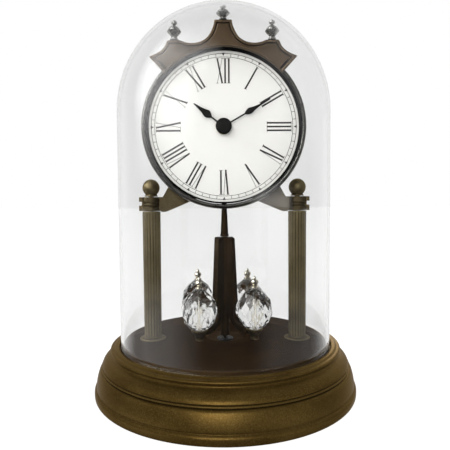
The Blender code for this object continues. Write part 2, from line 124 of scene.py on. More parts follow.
def bump(tree, shader, height, distance):
    """Raises the surface by a texture, distance in metres."""
    node = put(tree, "ShaderNodeBump", Height=height, Distance=distance)
    tree.links.new(node.outputs[0], shader.inputs["Normal"])


def patina(name, low, high, dark, light, metallic=0.9, rough=(0.36, 0.48), cloud=70.0,
           speck=2600.0, grain=0.00002, wear=0.5, speckle=0.35, rim=(0.8, 0.75, 0.7),
           shine=0.35):
    """Antique metal: cloudy tone, fine speckle, dark hollows and rubbed edges."""
    mat, tree, shader = new_material(name)
    clouds = noise(tree, cloud, 3.0)
    colour = blend_colour(tree, remap(tree, clouds, 0.35, 0.65), low, high)
    specks = noise(tree, speck, 2.0, 0.6)
    colour = blend_colour(tree, remap(tree, specks, 0.52, 0.78, 0.0, speckle), colour, light)
    colour = blend_colour(tree, remap(tree, specks, 0.45, 0.25, 0.0, speckle), colour, dark)
    edge = put(tree, "ShaderNodeAttribute", p_attribute_name="edge").outputs["Fac"]
    rubbed = blend_colour(tree, remap(tree, edge, 0.08, 0.55, 0.0, wear), colour, light)
    colour = blend_colour(tree, remap(tree, edge, -0.06, -0.4, 0.0, 0.85), rubbed, dark)
    tree.links.new(colour, shader.inputs["Base Color"])
    tree.links.new(remap(tree, clouds, 0.3, 0.7, *rough), shader.inputs["Roughness"])
    set_plain(shader, metallic, Specular_Tint=(*rim, 1), Specular_IOR_Level=shine)
    bump(tree, shader, specks, grain)
    return mat


def satin(name, colour, second, rough=(0.35, 0.5), metallic=0.0, cloud=90.0, fine=1800.0,
          grain=0.00001, coat=0.0, stretch=None, shine=0.5):
    """Paint, plastic or plain metal with faint variation of tone and gloss."""
    mat, tree, shader = new_material(name)
    clouds = noise(tree, cloud, 3.0)
    fines = noise(tree, fine, 2.0, 0.6, stretch)
    tone = blend_colour(tree, remap(tree, clouds, 0.3, 0.7), colour, second)
    tree.links.new(tone, shader.inputs["Base Color"])
    tree.links.new(remap(tree, fines, 0.3, 0.7, *rough), shader.inputs["Roughness"])
    set_plain(shader, metallic, Specular_IOR_Level=shine)
    if coat:
        shader.inputs["Coat Weight"].default_value = coat
        shader.inputs["Coat Roughness"].default_value = 0.08
    bump(tree, shader, fines, grain)
    return mat


def clear_glass(name, tint, ior, ripple_scale, ripple):
    """Glass with a faint ripple and patches that are slightly less polished."""
    mat, tree, shader = new_material(name)
    wave = noise(tree, ripple_scale, 1.0)
    shader.inputs["Base Color"].default_value = (*tint, 1)
    tree.links.new(remap(tree, noise(tree, 120.0, 3.0), 0.45, 0.8, 0.0, 0.015),
                   shader.inputs["Roughness"])
    set_plain(shader, 0.0, Transmission_Weight=1.0, IOR=ior)
    bump(tree, shader, wave, ripple)
    return mat


# ------------------------------------------------------------------ mesh helpers
def spot(p):
    """Millimetres above the datum to metres above the table."""
    return (p[0] * MM, p[1] * MM, (p[2] + LIFT) * MM)


def mark_edges(bm):
    """Stores how convex (+) or hollow (-) the surface is at each vertex."""
    layer = bm.verts.layers.float.new("edge")
    bm.normal_update()
    for v in bm.verts:
        total = 0.0
        for e in v.link_edges:
            step = e.other_vert(v).co - v.co
            if step.length > 1e-9:
                total -= step.normalized().dot(v.normal)
        v[layer] = max(-1.0, min(1.0, 2.0 * total / max(len(v.link_edges), 1)))


def piece(name, parts, mat, body, replaces=(), angle=32, bevel=0.0, mark=True):
    """One object from closed (verts, faces) parts in millimetres, riding on a CAD body.
    Edges bent by more than angle degrees are sharp, or rounded off by a bevel."""
    mesh = bpy.data.meshes.new(name)
    bm = bmesh.new()
    for verts, faces in parts:
        made = [bm.verts.new(spot(v)) for v in verts]
        for f in faces:
            try:
                bm.faces.new([made[i] for i in f])
            except ValueError:      # the same face given twice is made once
                pass
    bmesh.ops.remove_doubles(bm, verts=bm.verts, dist=1e-8)
    bmesh.ops.recalc_face_normals(bm, faces=bm.faces)
    if bevel:
        sharp = [e for e in bm.edges if len(e.link_faces) == 2
                 and e.calc_face_angle() > math.radians(angle)]
        bmesh.ops.bevel(bm, geom=sharp, offset=bevel * MM, segments=2, profile=0.6,
                        affect="EDGES", clamp_overlap=True)
    if mark:
        mark_edges(bm)
    bm.to_mesh(mesh)
    bm.free()
    for poly in mesh.polygons:
        poly.use_smooth = True
    mesh.set_sharp_from_angle(angle=math.radians(angle))
    mesh.materials.append(mat)
    ob = bpy.data.objects.new(name, mesh)
    bpy.context.scene.collection.objects.link(ob)
    if bevel:
        ob.modifiers.new("weighted", "WEIGHTED_NORMAL").keep_sharp = True
    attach(ob, body)
    if replaces:
        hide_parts(*replaces)
    return ob


def lathe(profile, segs=96, axis="z", at=(0, 0, 0)):
    """Closed (radius, height) profile turned about an axis through at."""
    verts, rows = [], []
    for r, h in profile:
        row = []
        for k in range(segs if r > 1e-9 else 1):
            a = 2 * math.pi * k / segs
            u, w = r * math.cos(a), r * math.sin(a)
            p = {"z": (u, w, h), "y": (u, h, w), "x": (h, u, w)}[axis]
            row.append(len(verts))
            verts.append(tuple(p[i] + at[i] for i in range(3)))
        rows.append(row)
    faces = []
    for i, row in enumerate(rows):
        nxt = rows[(i + 1) % len(rows)]
        for k in range(segs):
            quad = [row[k % len(row)], row[(k + 1) % len(row)],
                    nxt[(k + 1) % len(nxt)], nxt[k % len(nxt)]]
            face = list(dict.fromkeys(quad))
            if len(face) > 2:
                faces.append(face)
    return verts, faces


def smooth_line(points, rounds=2, closed=False):
    """Cuts corners, keeping the ends, to turn a coarse line into a curve."""
    for _ in range(rounds):
        out = [] if closed else [points[0]]
        n = len(points)
        for k in range(n if closed else n - 1):
            a, b = points[k], points[(k + 1) % n]
            out.append(tuple(0.78 * a[i] + 0.22 * b[i] for i in range(2)))
            out.append(tuple(0.22 * a[i] + 0.78 * b[i] for i in range(2)))
        if not closed:
            out.append(points[-1])
        points = out
    return points


def slab(loop, low, high, turn=0.0, at=(0, 0, 0)):
    """Flat (x, z) loop extruded from low to high along y, then turned about the upright."""
    c, s = math.cos(math.radians(turn)), math.sin(math.radians(turn))

    def place(p, y):
        v = (p[0] * c - y * s, p[0] * s + y * c, p[1])
        return tuple(v[i] + at[i] for i in range(3))

    n = len(loop)
    verts = [place(p, low) for p in loop] + [place(p, high) for p in loop]
    faces = [list(range(n)), list(range(2 * n - 1, n - 1, -1))]
    faces += [[k, (k + 1) % n, (k + 1) % n + n, k + n] for k in range(n)]
    return verts, faces


def ring_points(r, n, phase):
    """n points round a circle about the origin, from phase in radians."""
    return [(r * math.cos(2 * math.pi * k / n + phase),
             r * math.sin(2 * math.pi * k / n + phase)) for k in range(n)]


def arc(cx, cz, r, a0, a1, n):
    """n + 1 points along a round stretch between two angles in degrees."""
    return [(cx + r * math.cos(math.radians(a0 + (a1 - a0) * k / n)),
             cz + r * math.sin(math.radians(a0 + (a1 - a0) * k / n))) for k in range(n + 1)]


# ------------------------------------------------------------------ materials
BRONZE = patina("antique_bronze", (0.079, 0.046, 0.009), (0.110, 0.068, 0.016),
                (0.008, 0.004, 0.002), (0.23, 0.17, 0.065), metallic=0.75, cloud=40.0,
                wear=0.40, rough=(0.36, 0.44), speck=1500.0, speckle=0.45,
                rim=(0.62, 0.52, 0.40), shine=0.4)
BRONZE_DARK = patina("dark_bronze", (0.017, 0.010, 0.004), (0.026, 0.016, 0.007),
                     (0.004, 0.003, 0.002), (0.07, 0.05, 0.03), metallic=0.7,
                     rough=(0.40, 0.50), cloud=60.0, grain=0.000004, speckle=0.2,
                     rim=(0.20, 0.16, 0.12), shine=0.2)
PLATE = patina("plate_bronze", (0.028, 0.015, 0.006), (0.037, 0.021, 0.009),
               (0.014, 0.008, 0.004), (0.10, 0.07, 0.04), metallic=0.3,
               rough=(0.30, 0.38), cloud=60.0, grain=0.000001, speckle=0.14,
               rim=(0.30, 0.24, 0.17), shine=0.0)
BRONZE_COLUMN = patina("column_bronze", (0.140, 0.114, 0.062), (0.195, 0.160, 0.088),
                       (0.010, 0.008, 0.005), (0.26, 0.21, 0.12), metallic=0.85,
                       rough=(0.36, 0.46), cloud=110.0, wear=0.6, grain=0.00001,
                       rim=(0.25, 0.22, 0.17), shine=0.2)
BRONZE_BRACKET = patina("bracket_bronze", (0.068, 0.054, 0.030), (0.094, 0.075, 0.043),
                        (0.008, 0.006, 0.004), (0.24, 0.19, 0.11), metallic=0.85,
                        rough=(0.34, 0.44), cloud=110.0, wear=0.6, grain=0.00001,
                        rim=(0.40, 0.36, 0.28), shine=0.2)
BRONZE_CREST = patina("crest_bronze", (0.062, 0.042, 0.025), (0.086, 0.060, 0.038),
                      (0.008, 0.006, 0.004), (0.22, 0.17, 0.12), metallic=0.8,
                      rough=(0.34, 0.44), cloud=90.0, wear=0.6, shine=0.25)
GUNMETAL = patina("gunmetal", (0.095, 0.094, 0.090), (0.130, 0.129, 0.123),
                  (0.012, 0.011, 0.010), (0.30, 0.29, 0.26), metallic=0.95,
                  rough=(0.24, 0.34), cloud=120.0)
PEWTER = patina("pewter", (0.32, 0.32, 0.31), (0.42, 0.42, 0.41), (0.035, 0.035, 0.033),
                (0.62, 0.62, 0.60), rough=(0.22, 0.32), cloud=300.0)
SILVER = patina("pale_gold_silver", (0.72, 0.68, 0.56), (0.82, 0.79, 0.70),
                (0.16, 0.14, 0.09), (0.95, 0.93, 0.88), metallic=1.0, rough=(0.10, 0.20),
                cloud=400.0, speck=4000.0, grain=0.000004)
BLACK = satin("black_enamel", (0.004, 0.004, 0.004), (0.007, 0.007, 0.007),
              rough=(0.42, 0.55), shine=0.12)
# Glossless near-black for the inner bezel ring: painted shade where the bezel's inner wall falls
# dark, with no gloss to catch any light.
SHADE_LINER = satin("liner_black_painted_shade", (0.004, 0.004, 0.004), (0.007, 0.007, 0.007),
              rough=(0.50, 0.60), shine=0.0)
BLACK_GLOSS = satin("black_gloss", (0.006, 0.006, 0.007), (0.010, 0.010, 0.010),
                    rough=(0.06, 0.12))
PRINT = satin("print_ink", (0.010, 0.010, 0.011), (0.016, 0.016, 0.017), rough=(0.6, 0.75))
DIAL = satin("dial_paint", (0.78, 0.785, 0.765), (0.81, 0.815, 0.80), rough=(0.42, 0.55),
             cloud=35.0, fine=2600.0, grain=0.000006, shine=0.3)
PLASTIC = satin("moulded_black", (0.018, 0.018, 0.019), (0.028, 0.028, 0.029),
                rough=(0.42, 0.58), fine=3200.0, grain=0.00003)
WHITE_PLASTIC = satin("acetal_white", (0.66, 0.66, 0.63), (0.72, 0.72, 0.70))
RUBBER = satin("pad_rubber", (0.014, 0.014, 0.014), (0.024, 0.024, 0.024), rough=(0.7, 0.9),
               fine=2500.0, grain=0.00004)
BRASS = patina("turned_brass", (0.50, 0.36, 0.12), (0.62, 0.46, 0.18), (0.10, 0.06, 0.02),
               (0.85, 0.70, 0.38), metallic=1.0, rough=(0.20, 0.32), cloud=200.0)
STEEL = satin("bright_steel", (0.46, 0.46, 0.46), (0.58, 0.58, 0.57), rough=(0.22, 0.36),
              metallic=1.0, fine=3000.0)
COPPER = satin("coil_wire", (0.42, 0.14, 0.05), (0.60, 0.24, 0.10), rough=(0.25, 0.4),
               metallic=0.9, fine=900.0, stretch=(14.0, 1.0, 1.0), grain=0.00006)
BOARD = satin("circuit_green", (0.02, 0.13, 0.06), (0.04, 0.20, 0.09), rough=(0.3, 0.45))
WRAP = satin("cell_sleeve", (0.045, 0.065, 0.16), (0.06, 0.085, 0.20), rough=(0.22, 0.34),
             metallic=0.3, coat=0.4)
DOME_GLASS = clear_glass("dome_glass", (0.935, 0.938, 0.935), 1.45, 14.0, 0.00003)
CRYSTAL = clear_glass("lead_crystal", (1.0, 1.0, 0.995), 1.56, 200.0, 0.000002)


# ------------------------------------------------------------------ base
def base():
    """Turned shell, plate, guide cup, bottom cover and pads."""
    foot = [(71.4, -0.6), (74.4, -0.7), (75.3, -0.6), (75.9, 0.1), (76.0, 1.4), (76.0, 2.9),
            (75.8, 3.7), (75.3, 4.4), (74.8, 4.75), (74.75, 5.1), (74.9, 5.5), (74.8, 7.0),
            (74.4, 9.4), (73.8, 11.8), (73.1, 13.8), (72.5, 14.7), (71.7, 15.0)]
    groove = [(71.5, 15.3), (71.9, 15.5), (72.1, 16.0), (71.8, 16.4), (71.25, 16.6)]
    tier = [(71.5, 17.2), (71.2, 18.2), (70.4, 19.4), (69.2, 20.6), (67.6, 21.6), (66.3, 22.3),
            (65.6, 23.1), (65.7, 23.9), (66.5, 24.4), (66.9, 25.0), (66.7, 25.7), (65.9, 26.1),
            (65.1, 26.2)]
    seat = [(64.6, 26.5), (63.9, 27.0), (62.8, 27.15), (61.9, 26.9), (61.6, 26.3),
            (61.6, 25.3)]
    inside = [(20.0, 25.3), (20.0, 23.1), (61.6, 23.1), (69.2, 14.4), (71.4, 6.0)]
    profile = (smooth_line(foot) + smooth_line(groove, 1) + smooth_line(tier)
               + smooth_line(seat, 1) + inside)
    piece("base_turned", [lathe(profile, 192)], BRONZE, "clock_frame",
          ["base_shell"], angle=50)
    disc = [(1.6, PLATE_Z), (20.0, PLATE_Z), (40.0, PLATE_Z), (PLATE_R - 1.2, PLATE_Z),
            (PLATE_R - 0.5, PLATE_Z - 0.12), (PLATE_R - 0.1, PLATE_Z - 0.5),
            (PLATE_R, PLATE_Z - 1.0), (PLATE_R, 25.6), (1.6, 25.6)]
    piece("plate_disc", [lathe(disc, 160)], PLATE, "clock_frame",
          ["top_plate"])
    cup = smooth_line([(1.2, 28.7), (4.6, 28.7), (4.85, 29.0), (4.7, 29.5), (4.1, 29.85),
                       (3.4, 29.9), (2.6, 29.6), (1.7, 29.2), (1.2, 29.1)], 2, True)
    piece("guide_cup_ring", [lathe(cup, 48, at=(0, PEND_Y, 0))], BLACK_GLOSS,
          "clock_frame", ["guide_cup"])
    cover = [(0, 1.1), (69.6, 1.1), (70.6, 1.2), (71.2, 1.7), (71.2, 2.4), (0, 2.4)]
    piece("base_cover", [lathe(cover, 128)], PLASTIC, "clock_frame",
          ["bottom_cover"])
    pad = [(0, -0.9), (1.6, -0.9), (2.0, -1.0), (4.4, -1.0), (4.9, -0.9), (5.2, -0.5),
           (5.2, 0.8), (0, 0.8)]
    pad_circle = 60
    for k in range(3):
        a = math.radians(-90 + 120 * k)
        at = (pad_circle * math.cos(a), pad_circle * math.sin(a), 0)
        piece("foot_%d" % (k + 1), [lathe(pad, 40, at=at)], RUBBER, "clock_frame",
              ["foot_pad_%d" % (k + 1)])


def dome():
    """Clear bell with a rounded foot; it throws no shadow."""
    steps, inner, round_r, straight = 26, DOME_R - DOME_WALL, DOME_WALL / 2, 6
    quarter = [math.pi / 2 * k / steps for k in range(steps)]
    outside, inside = ([(r * math.cos(a), DOME_CENTRE + r * math.sin(a)) for a in quarter]
                       + [(0, DOME_CENTRE + r)] for r in (DOME_R, inner))
    foot = [(inner + round_r - round_r * math.cos(math.pi * k / 6),
             DOME_FOOT + round_r - round_r * math.sin(math.pi * k / 6)) for k in range(7)]
    heights = [DOME_FOOT + straight + (DOME_CENTRE - DOME_FOOT - straight) * k / 8
               for k in range(8)]
    profile = (foot + [(DOME_R, h) for h in heights] + outside + inside[::-1]
               + [(inner, h) for h in heights[::-1]])
    ob = piece("dome_bell", [lathe(profile, 144)], DOME_GLASS, "dome", ["glass_dome"],
               angle=80, mark=False)
    ob.visible_shadow = False
    return ob


# ------------------------------------------------------------------ columns and brackets
def fluted_ring(r):
    """Round ridges between narrow hollows."""
    deep, narrow = 0.42, 1.6
    points = []
    for k in range(FLUTES * FLUTE_STEPS):
        f = (k % FLUTE_STEPS) / FLUTE_STEPS
        dip = deep * max(0.0, math.cos(2 * math.pi * f)) ** narrow
        a = 2 * math.pi * (k + 0.5 * FLUTE_STEPS) / (FLUTES * FLUTE_STEPS)
        points.append(((r - dip) * math.cos(a), (r - dip) * math.sin(a)))
    return points


def column_shell(x, y):
    """Fluted shaft whose hollows fade out just before the plain ends."""
    verts, faces = [], []
    n, rows = FLUTES * FLUTE_STEPS, 10
    ends, plain, fade_over, chamfer = (0.15, 0.7, 1.6), 0.15, 1.2, 0.15
    tall = COL_Z1 - COL_Z0
    heights = [COL_Z0] + [COL_Z0 + e for e in ends]
    heights += [COL_Z0 + ends[2] + (tall - 2 * ends[2]) * k / rows for k in range(1, rows)]
    heights += [COL_Z1 - e for e in reversed(ends)] + [COL_Z1]
    for h in heights:
        r = COL_R0 + (COL_R1 - COL_R0) * (h - COL_Z0) / tall
        end = min(h - COL_Z0, COL_Z1 - h)
        fade = min(1.0, max(0.0, (end - plain) / fade_over))
        inset = chamfer if h in (COL_Z0, COL_Z1) else 0.0
        circle = ring_points(r, n, math.pi / FLUTES)
        for (u, w), (cu, cw) in zip(fluted_ring(r), circle):
            u, w = cu + (u - cu) * fade, cw + (w - cw) * fade
            length = math.hypot(u, w)
            verts.append((x + u * (1 - inset / length), y + w * (1 - inset / length), h))
    for i in range(len(heights) - 1):
        for k in range(n):
            a, b = i * n + k, i * n + (k + 1) % n
            faces.append([a, b, b + n, a + n])
    faces.append(list(range(n)))
    top = (len(heights) - 1) * n
    faces.append([top + k for k in reversed(range(n))])
    return verts, faces


def columns():
    """Shafts, foot flanges, ball finials and brackets, left and right."""
    for side, sx in SIDES:
        x = sx * COL_X
        at = (x, COL_Y, 0)
        piece("column_shaft_" + side, [column_shell(x, COL_Y)],
              BRONZE_COLUMN, "clock_frame", ["column_" + side], angle=60)
        flange = smooth_line([(1.8, 28.7), (7.4, 28.7), (7.62, 28.9), (7.6, 29.2), (7.3, 29.42),
                              (6.8, 29.5), (5.6, 29.5), (1.8, 29.5)], 1, True)
        piece("foot_ring_" + side, [lathe(flange, 64, at=at)], BRONZE_COLUMN, "clock_frame",
              ["foot_flange_" + side])
        ball = [(0, 110.0), (1.5, 110.0), (1.5, 112.1), (3.75, 112.1), (3.8, 112.35),
                (3.55, 112.7), (3.3, 113.1)]
        ball += arc(0, BALL_Z, BALL_R, -48, 84, 22) + [(0, BALL_Z + BALL_R)]
        piece("ball_" + side, [lathe(ball, 64, at=at)], BRONZE_COLUMN, "clock_frame",
              ["ball_finial_" + side])
        bracket(side, sx)


def bracket(side, sx):
    """Ringed collar round the column's top, wing to the case and notched outer tab."""
    wing = [(46.0, 103.8), (46.0, 111.7), (35.6, 111.8), (34.6, 113.4), (32.6, 117.0),
            (31.2, 120.2), (22.0, 121.6), (14.0, 117.0), (14.0, 111.6), (17.0, 110.4),
            (20.6, 108.8), (24.0, 107.3), (29.0, 105.2), (33.0, 103.55), (34.2, 103.2),
            (36.4, 103.2), (37.0, 103.8)]
    collar = []
    for ring, (h0, h1) in enumerate(((103.7, 106.1), (108.6, 111.8))):
        collar += [(5.05, h0), (5.3, h0 + 0.25), (5.3, h1 - 0.25), (5.05, h1)]
        if ring == 0:
            collar += [(4.85, 106.2), (4.85, 106.75), (5.1, 106.85), (5.25, 107.05),
                       (5.25, 107.75), (5.1, 107.95), (4.85, 108.05), (4.85, 108.5)]
    rings = [(0, 103.7)] + collar + [(0, 111.8)]
    parts = [lathe(rings, 64, at=(sx * COL_X, COL_Y, 0))]
    half_thick = 2.0
    y0, y1 = COL_Y - half_thick, COL_Y + half_thick
    shapes = [(wing, y0, y1)]
    for z0, z1 in ((103.75, 106.9), (109.1, 111.75)):
        shapes.append(([(44.0, z0), (49.4, z0), (49.4, z1), (44.0, z1)], y0, y1))
    shapes.append(([(44.0, 106.5), (47.8, 106.5), (47.8, 109.5), (44.0, 109.5)],
                   y0 + 0.25, y1 - 0.25))
    for loop, a, b in shapes:
        parts.append(slab([(sx * px, pz) for px, pz in loop], a, b))
    piece("bracket_plate_" + side, parts, BRONZE_BRACKET, "clock_frame",
          ["bracket_" + side], bevel=0.28)


# ------------------------------------------------------------------ bezel, dial, crest
def bezel():
    """Rolled bezel, black inner ring and dial; the ring's glossless near-black is partly its own
    black and partly painted shade inside the bezel.
    """
    at = (0, 0, DIAL_Z)
    ring = [(42.4, -12.0), (44.4, -12.0), (44.85, -12.4), (45.0, -13.0), (45.0, -18.2),
            (44.95, -19.2), (44.7, -20.3), (44.2, -21.1), (43.6, -21.5), (43.0, -21.4),
            (42.6, -20.9), (42.4, -20.2)]
    piece("bezel_rolled", [lathe(smooth_line(ring, 2, True), 192, "y", at)], GUNMETAL,
          "clock_frame", ["bezel_ring"], angle=60)
    liner = [(41.2, -17.3), (42.1, -17.3), (42.1, -20.4), (41.95, -20.55), (41.75, -20.45)]
    # The inner ring's glossless black is painted shade inside the bezel.
    piece("liner_ring_painted_shade", [lathe(liner, 192, "y", at)], SHADE_LINER, "clock_frame",
          ["bezel_liner"])
    face = [(3.3, DIAL_Y), (DIAL_R, DIAL_Y), (DIAL_R, DIAL_Y + 0.6), (3.3, DIAL_Y + 0.6)]
    piece("dial_disc", [lathe(face, 160, "y", at)], DIAL, "clock_frame",
          ["dial_plate"])


THICK, THIN = 0.92, 0.24              # stroke widths of the numerals
TOP, BOTTOM = 37.2, 23.7              # their reach from the dial's centre
SERIF = 0.11                          # half the height of a serif
THICK_RISE, THIN_RISE, SERIF_RISE = 0.050, 0.045, 0.040
ADVANCE = {"I": 2.05, "V": 3.5, "X": 3.9}
WORDS = ("XII", "I", "II", "III", "IV", "V", "VI", "VII", "VIII", "IX", "X", "XI")
TRACK_RINGS = ((37.78, 38.04), (39.66, 39.94))
MINUTE_BAR = [(-0.13, 37.9), (0.13, 37.9), (0.13, 39.8), (-0.13, 39.8)]
HOUR_MARK = [(0.0, 38.4), (0.85, 40.1), (-0.85, 40.1)]


def stroke(a, b, width):
    """Slanted bar between (u, v) points with level ends, width measured across u."""
    return [(a[0] - width / 2, a[1]), (a[0] + width / 2, a[1]),
            (b[0] + width / 2, b[1]), (b[0] - width / 2, b[1])]


def numeral(text):
    """Strokes of one Roman numeral as (loop, rise) in dial coordinates (across, out)."""
    out = []
    u = -sum(ADVANCE[c] for c in text) / 2
    for c in text:
        w = ADVANCE[c]
        mid, left, right = u + w / 2, u + 0.65, u + w - 0.55
        if c == "I":
            out.append((stroke((mid, BOTTOM), (mid, TOP), THICK), THICK_RISE))
            ends = [(mid, 0.95, TOP), (mid, 0.95, BOTTOM)]
        elif c == "V":
            low, point = mid + 0.1, BOTTOM - 0.2
            out.append((stroke((low, point), (left, TOP), THICK), THICK_RISE))
            out.append((stroke((low + 0.12, point), (right, TOP), THIN), THIN_RISE))
            ends = [(left, 0.85, TOP), (right, 0.55, TOP)]
        else:
            out.append((stroke((right, BOTTOM), (left, TOP), THICK), THICK_RISE))
            out.append((stroke((left, BOTTOM), (right, TOP), THIN), THIN_RISE))
            ends = [(left, 0.85, TOP), (right, 0.6, TOP), (left, 0.6, BOTTOM),
                    (right, 0.85, BOTTOM)]
        for x, half, v in ends:
            v += -SERIF if v == TOP else SERIF
            out.append((stroke((x, v - SERIF), (x, v + SERIF), 2 * half), SERIF_RISE))
        u += w
    return out


def turned(loop, degrees):
    """Turns (across, up) points clockwise as seen from the front."""
    c, s = math.cos(math.radians(degrees)), math.sin(math.radians(degrees))
    return [(x * c + z * s, -x * s + z * c) for x, z in loop]


def dial_print():
    """Roman numerals and minute track, a few hundredths of a millimetre proud."""
    at = (0, 0, DIAL_Z)
    low = DIAL_Y + SINK
    numerals = []
    for hour, text in enumerate(WORDS):
        numerals += [slab(turned(loop, 30 * hour), DIAL_Y - rise, low, at=at)
                     for loop, rise in numeral(text)]
    piece("dial_numerals", numerals, PRINT, "clock_frame", mark=False)
    track = [lathe([(r0, DIAL_Y - 0.05), (r1, DIAL_Y - 0.05), (r1, low), (r0, low)], 180, "y", at)
             for r0, r1 in TRACK_RINGS]
    for k in range(60):
        bar = MINUTE_BAR if k % 5 else HOUR_MARK
        track.append(slab(turned(bar, 6 * k), DIAL_Y - 0.045, low, at=at))
    piece("minute_track", track, PRINT, "clock_frame", mark=False)


CREST_HALF = [(4.65, 205.2), (4.7, 204.2), (5.1, 202.4), (5.9, 200.3), (6.95, 198.2),
              (8.2, 196.4), (9.7, 195.1), (12.3, 193.75), (15.1, 193.2), (17.6, 193.1),
              (20.3, 193.6), (22.8, 194.6), (29.3, 194.6), (29.9, 193.8), (30.9, 191.5),
              (32.1, 190.1), (33.6, 188.8), (36.2, 187.4), (39.2, 186.2), (31.6, 177.9)]


def from_crest_centre(p, r):
    """The point at radius r on the line from the centre of the crest's round to p."""
    length = math.hypot(p[0], p[1] - CREST_CENTRE)
    return (p[0] * r / length, CREST_CENTRE + (p[1] - CREST_CENTRE) * r / length)


def crest_top():
    """The whole scrolled edge from left to right, cut into short steps."""
    step = 1.2
    curve = [CREST_HALF[0]] + smooth_line(CREST_HALF[1:11], 2) + CREST_HALF[11:13]
    curve += smooth_line(CREST_HALF[13:19], 1) + [CREST_HALF[19]]
    edge = [(-x, z) for x, z in reversed(curve)] + curve
    fine = []
    for a, b in zip(edge, edge[1:]):
        count = max(1, round(math.dist(a, b) / step))
        fine += [(a[0] + (b[0] - a[0]) * k / count, a[1] + (b[1] - a[1]) * k / count)
                 for k in range(count)]
    return fine + [edge[-1]]


def inward_corners(top):
    """Where the edge bends in, with the slope that an inset of it trims there."""
    corners = []
    for k in range(1, len(top) - 1):
        a, p, b = (Vector(top[k + j]) for j in (-1, 0, 1))
        bend = (p - a).angle_signed(b - p)
        if bend > math.radians(20):
            corners.append((k, math.tan(bend / 2)))
    return corners


def inset(top, corners, run, d):
    """The edge moved inward by d, trimmed at corners and kept in order round the centre."""
    out = []
    for k, p in enumerate(top):
        a, b = top[max(k - 1, 0)], top[min(k + 1, len(top) - 1)]
        n = Vector((0.0, 0.0))
        for u, v in ((a, p), (p, b)):
            if u != v:
                step = Vector((v[0] - u[0], v[1] - u[1])).normalized()
                n += Vector((step.y, -step.x))
        n = n / max(n.length_squared, 0.8) * (2 if a != p and p != b else 1)
        q = (p[0] + n.x * d, p[1] + n.y * d)
        least = CREST_R + 0.05 + 0.12 * min(d, 1.0)
        close = math.hypot(q[0], q[1] - CREST_CENTRE) < least
        out.append(from_crest_centre(q, least) if close else q)
    for k, slope in corners:
        for j in range(len(top)):
            if abs(run[j] - run[k]) < d * slope:
                out[j] = out[k]
    for j in range(1, len(out)):
        now, before = (math.atan2(q[0], q[1] - CREST_CENTRE) for q in (out[j], out[j - 1]))
        if now < before:
            out[j] = out[j - 1]
    return out


def crest():
    """Plate between its scrolled top edge and the round of the bezel, with a raised rim."""
    top = crest_top()
    low = [from_crest_centre(p, CREST_R) for p in top]
    corners = inward_corners(top)
    run = [0.0]
    for a, b in zip(top, top[1:]):
        run.append(run[-1] + math.dist(a, b))
    # the section across the plate: distance in from the top edge, depth behind the front
    rim = ((0.12, 0.1), (0.35, 0.0), (1.2, 0.0), (1.38, 0.12), (1.5, 0.8), (1.85, 0.8),
           (2.0, 0.45), (2.2, 0.38), (2.6, 0.38))
    rows = [(low, CREST_BACK), (top, CREST_BACK), (top, CREST_FRONT + 0.35)]
    rows += [(inset(top, corners, run, d), CREST_FRONT + depth) for d, depth in rim]
    rows += [([from_crest_centre(p, CREST_R + d) for p in top], CREST_FRONT + depth)
             for d, depth in ((0.9, 0.38), (0.25, 0.38), (0.0, 0.6))]
    n = len(top)
    verts = [(p[0], y, p[1]) for pts, y in rows for p in pts]
    faces = []
    for i in range(len(rows)):
        j = (i + 1) % len(rows)
        faces += [[i * n + k, i * n + k + 1, j * n + k + 1, j * n + k] for k in range(n - 1)]
    for k in (0, n - 1):
        faces.append([i * n + k for i in range(len(rows))])
    piece("crest_plaque", [(verts, faces)], BRONZE_CREST, "clock_frame",
          ["crest_panel"], angle=40)


def urns():
    """Turned finials on the crest; the centre one is shorter, to clear the dome."""
    profile = [(0, 0), (2.1, 0), (2.2, 0.15), (2.2, 0.5), (2.0, 0.7), (1.7, 1.3), (1.5, 1.9),
               (1.75, 2.4), (2.3, 2.85), (2.45, 3.1), (3.1, 3.8), (3.6, 4.5), (3.78, 4.9),
               (3.6, 5.1), (3.25, 5.3), (3.1, 5.9), (2.7, 6.6), (2.1, 7.2), (1.5, 7.7),
               (0.85, 8.05), (0.65, 8.35), (0.75, 8.65), (1.3, 9.0), (1.62, 9.4), (1.68, 9.8),
               (1.5, 10.3), (1.1, 10.75), (0.6, 11.05), (0.4, 11.25), (0, 11.4)]
    for name, x, z, tall, wide in (("left", -URN_X, 194.9, 0.93, 1.0),
                                   ("right", URN_X, 194.9, 0.93, 1.0),
                                   ("centre", 0.0, 205.5, 0.70, 0.97)):
        urn = [(r * wide, h * tall) for r, h in profile]
        piece("urn_" + name, [lathe(urn, 40, at=(x, URN_Y, z))], PEWTER, "clock_frame",
              ["finial_" + name], angle=45)


# ------------------------------------------------------------------ hands
def hand_loop(length, bulge_at, bulge, tip, hub):
    """Outline of a hand pointing up: round hub, thin neck, leaf and long tip."""
    neck = 0.42
    right = [(neck, hub * 0.97), (0.40, bulge_at - 3.6), (0.55, bulge_at - 3.25),
             (0.95, bulge_at - 2.95), (bulge * 0.62, bulge_at - 2.45),
             (bulge * 0.86, bulge_at - 1.6), (bulge, bulge_at - 0.6), (bulge * 0.96, bulge_at),
             (bulge * 0.80, bulge_at + 1.0), (bulge * 0.6, bulge_at + 2.2),
             (bulge * 0.48, bulge_at + 3.4), (bulge * 0.36, bulge_at + 4.8),
             (tip, bulge_at + 7.0), (tip * 0.8, length - 0.9), (tip * 0.5, length - 0.35)]
    left = [(-x, z) for x, z in reversed(right)]
    a = math.degrees(math.acos(neck / hub))
    ring = arc(0, 0, hub, 180 - a, 360 + a, 40)[1:-1]
    return right + [(0, length)] + left + ring


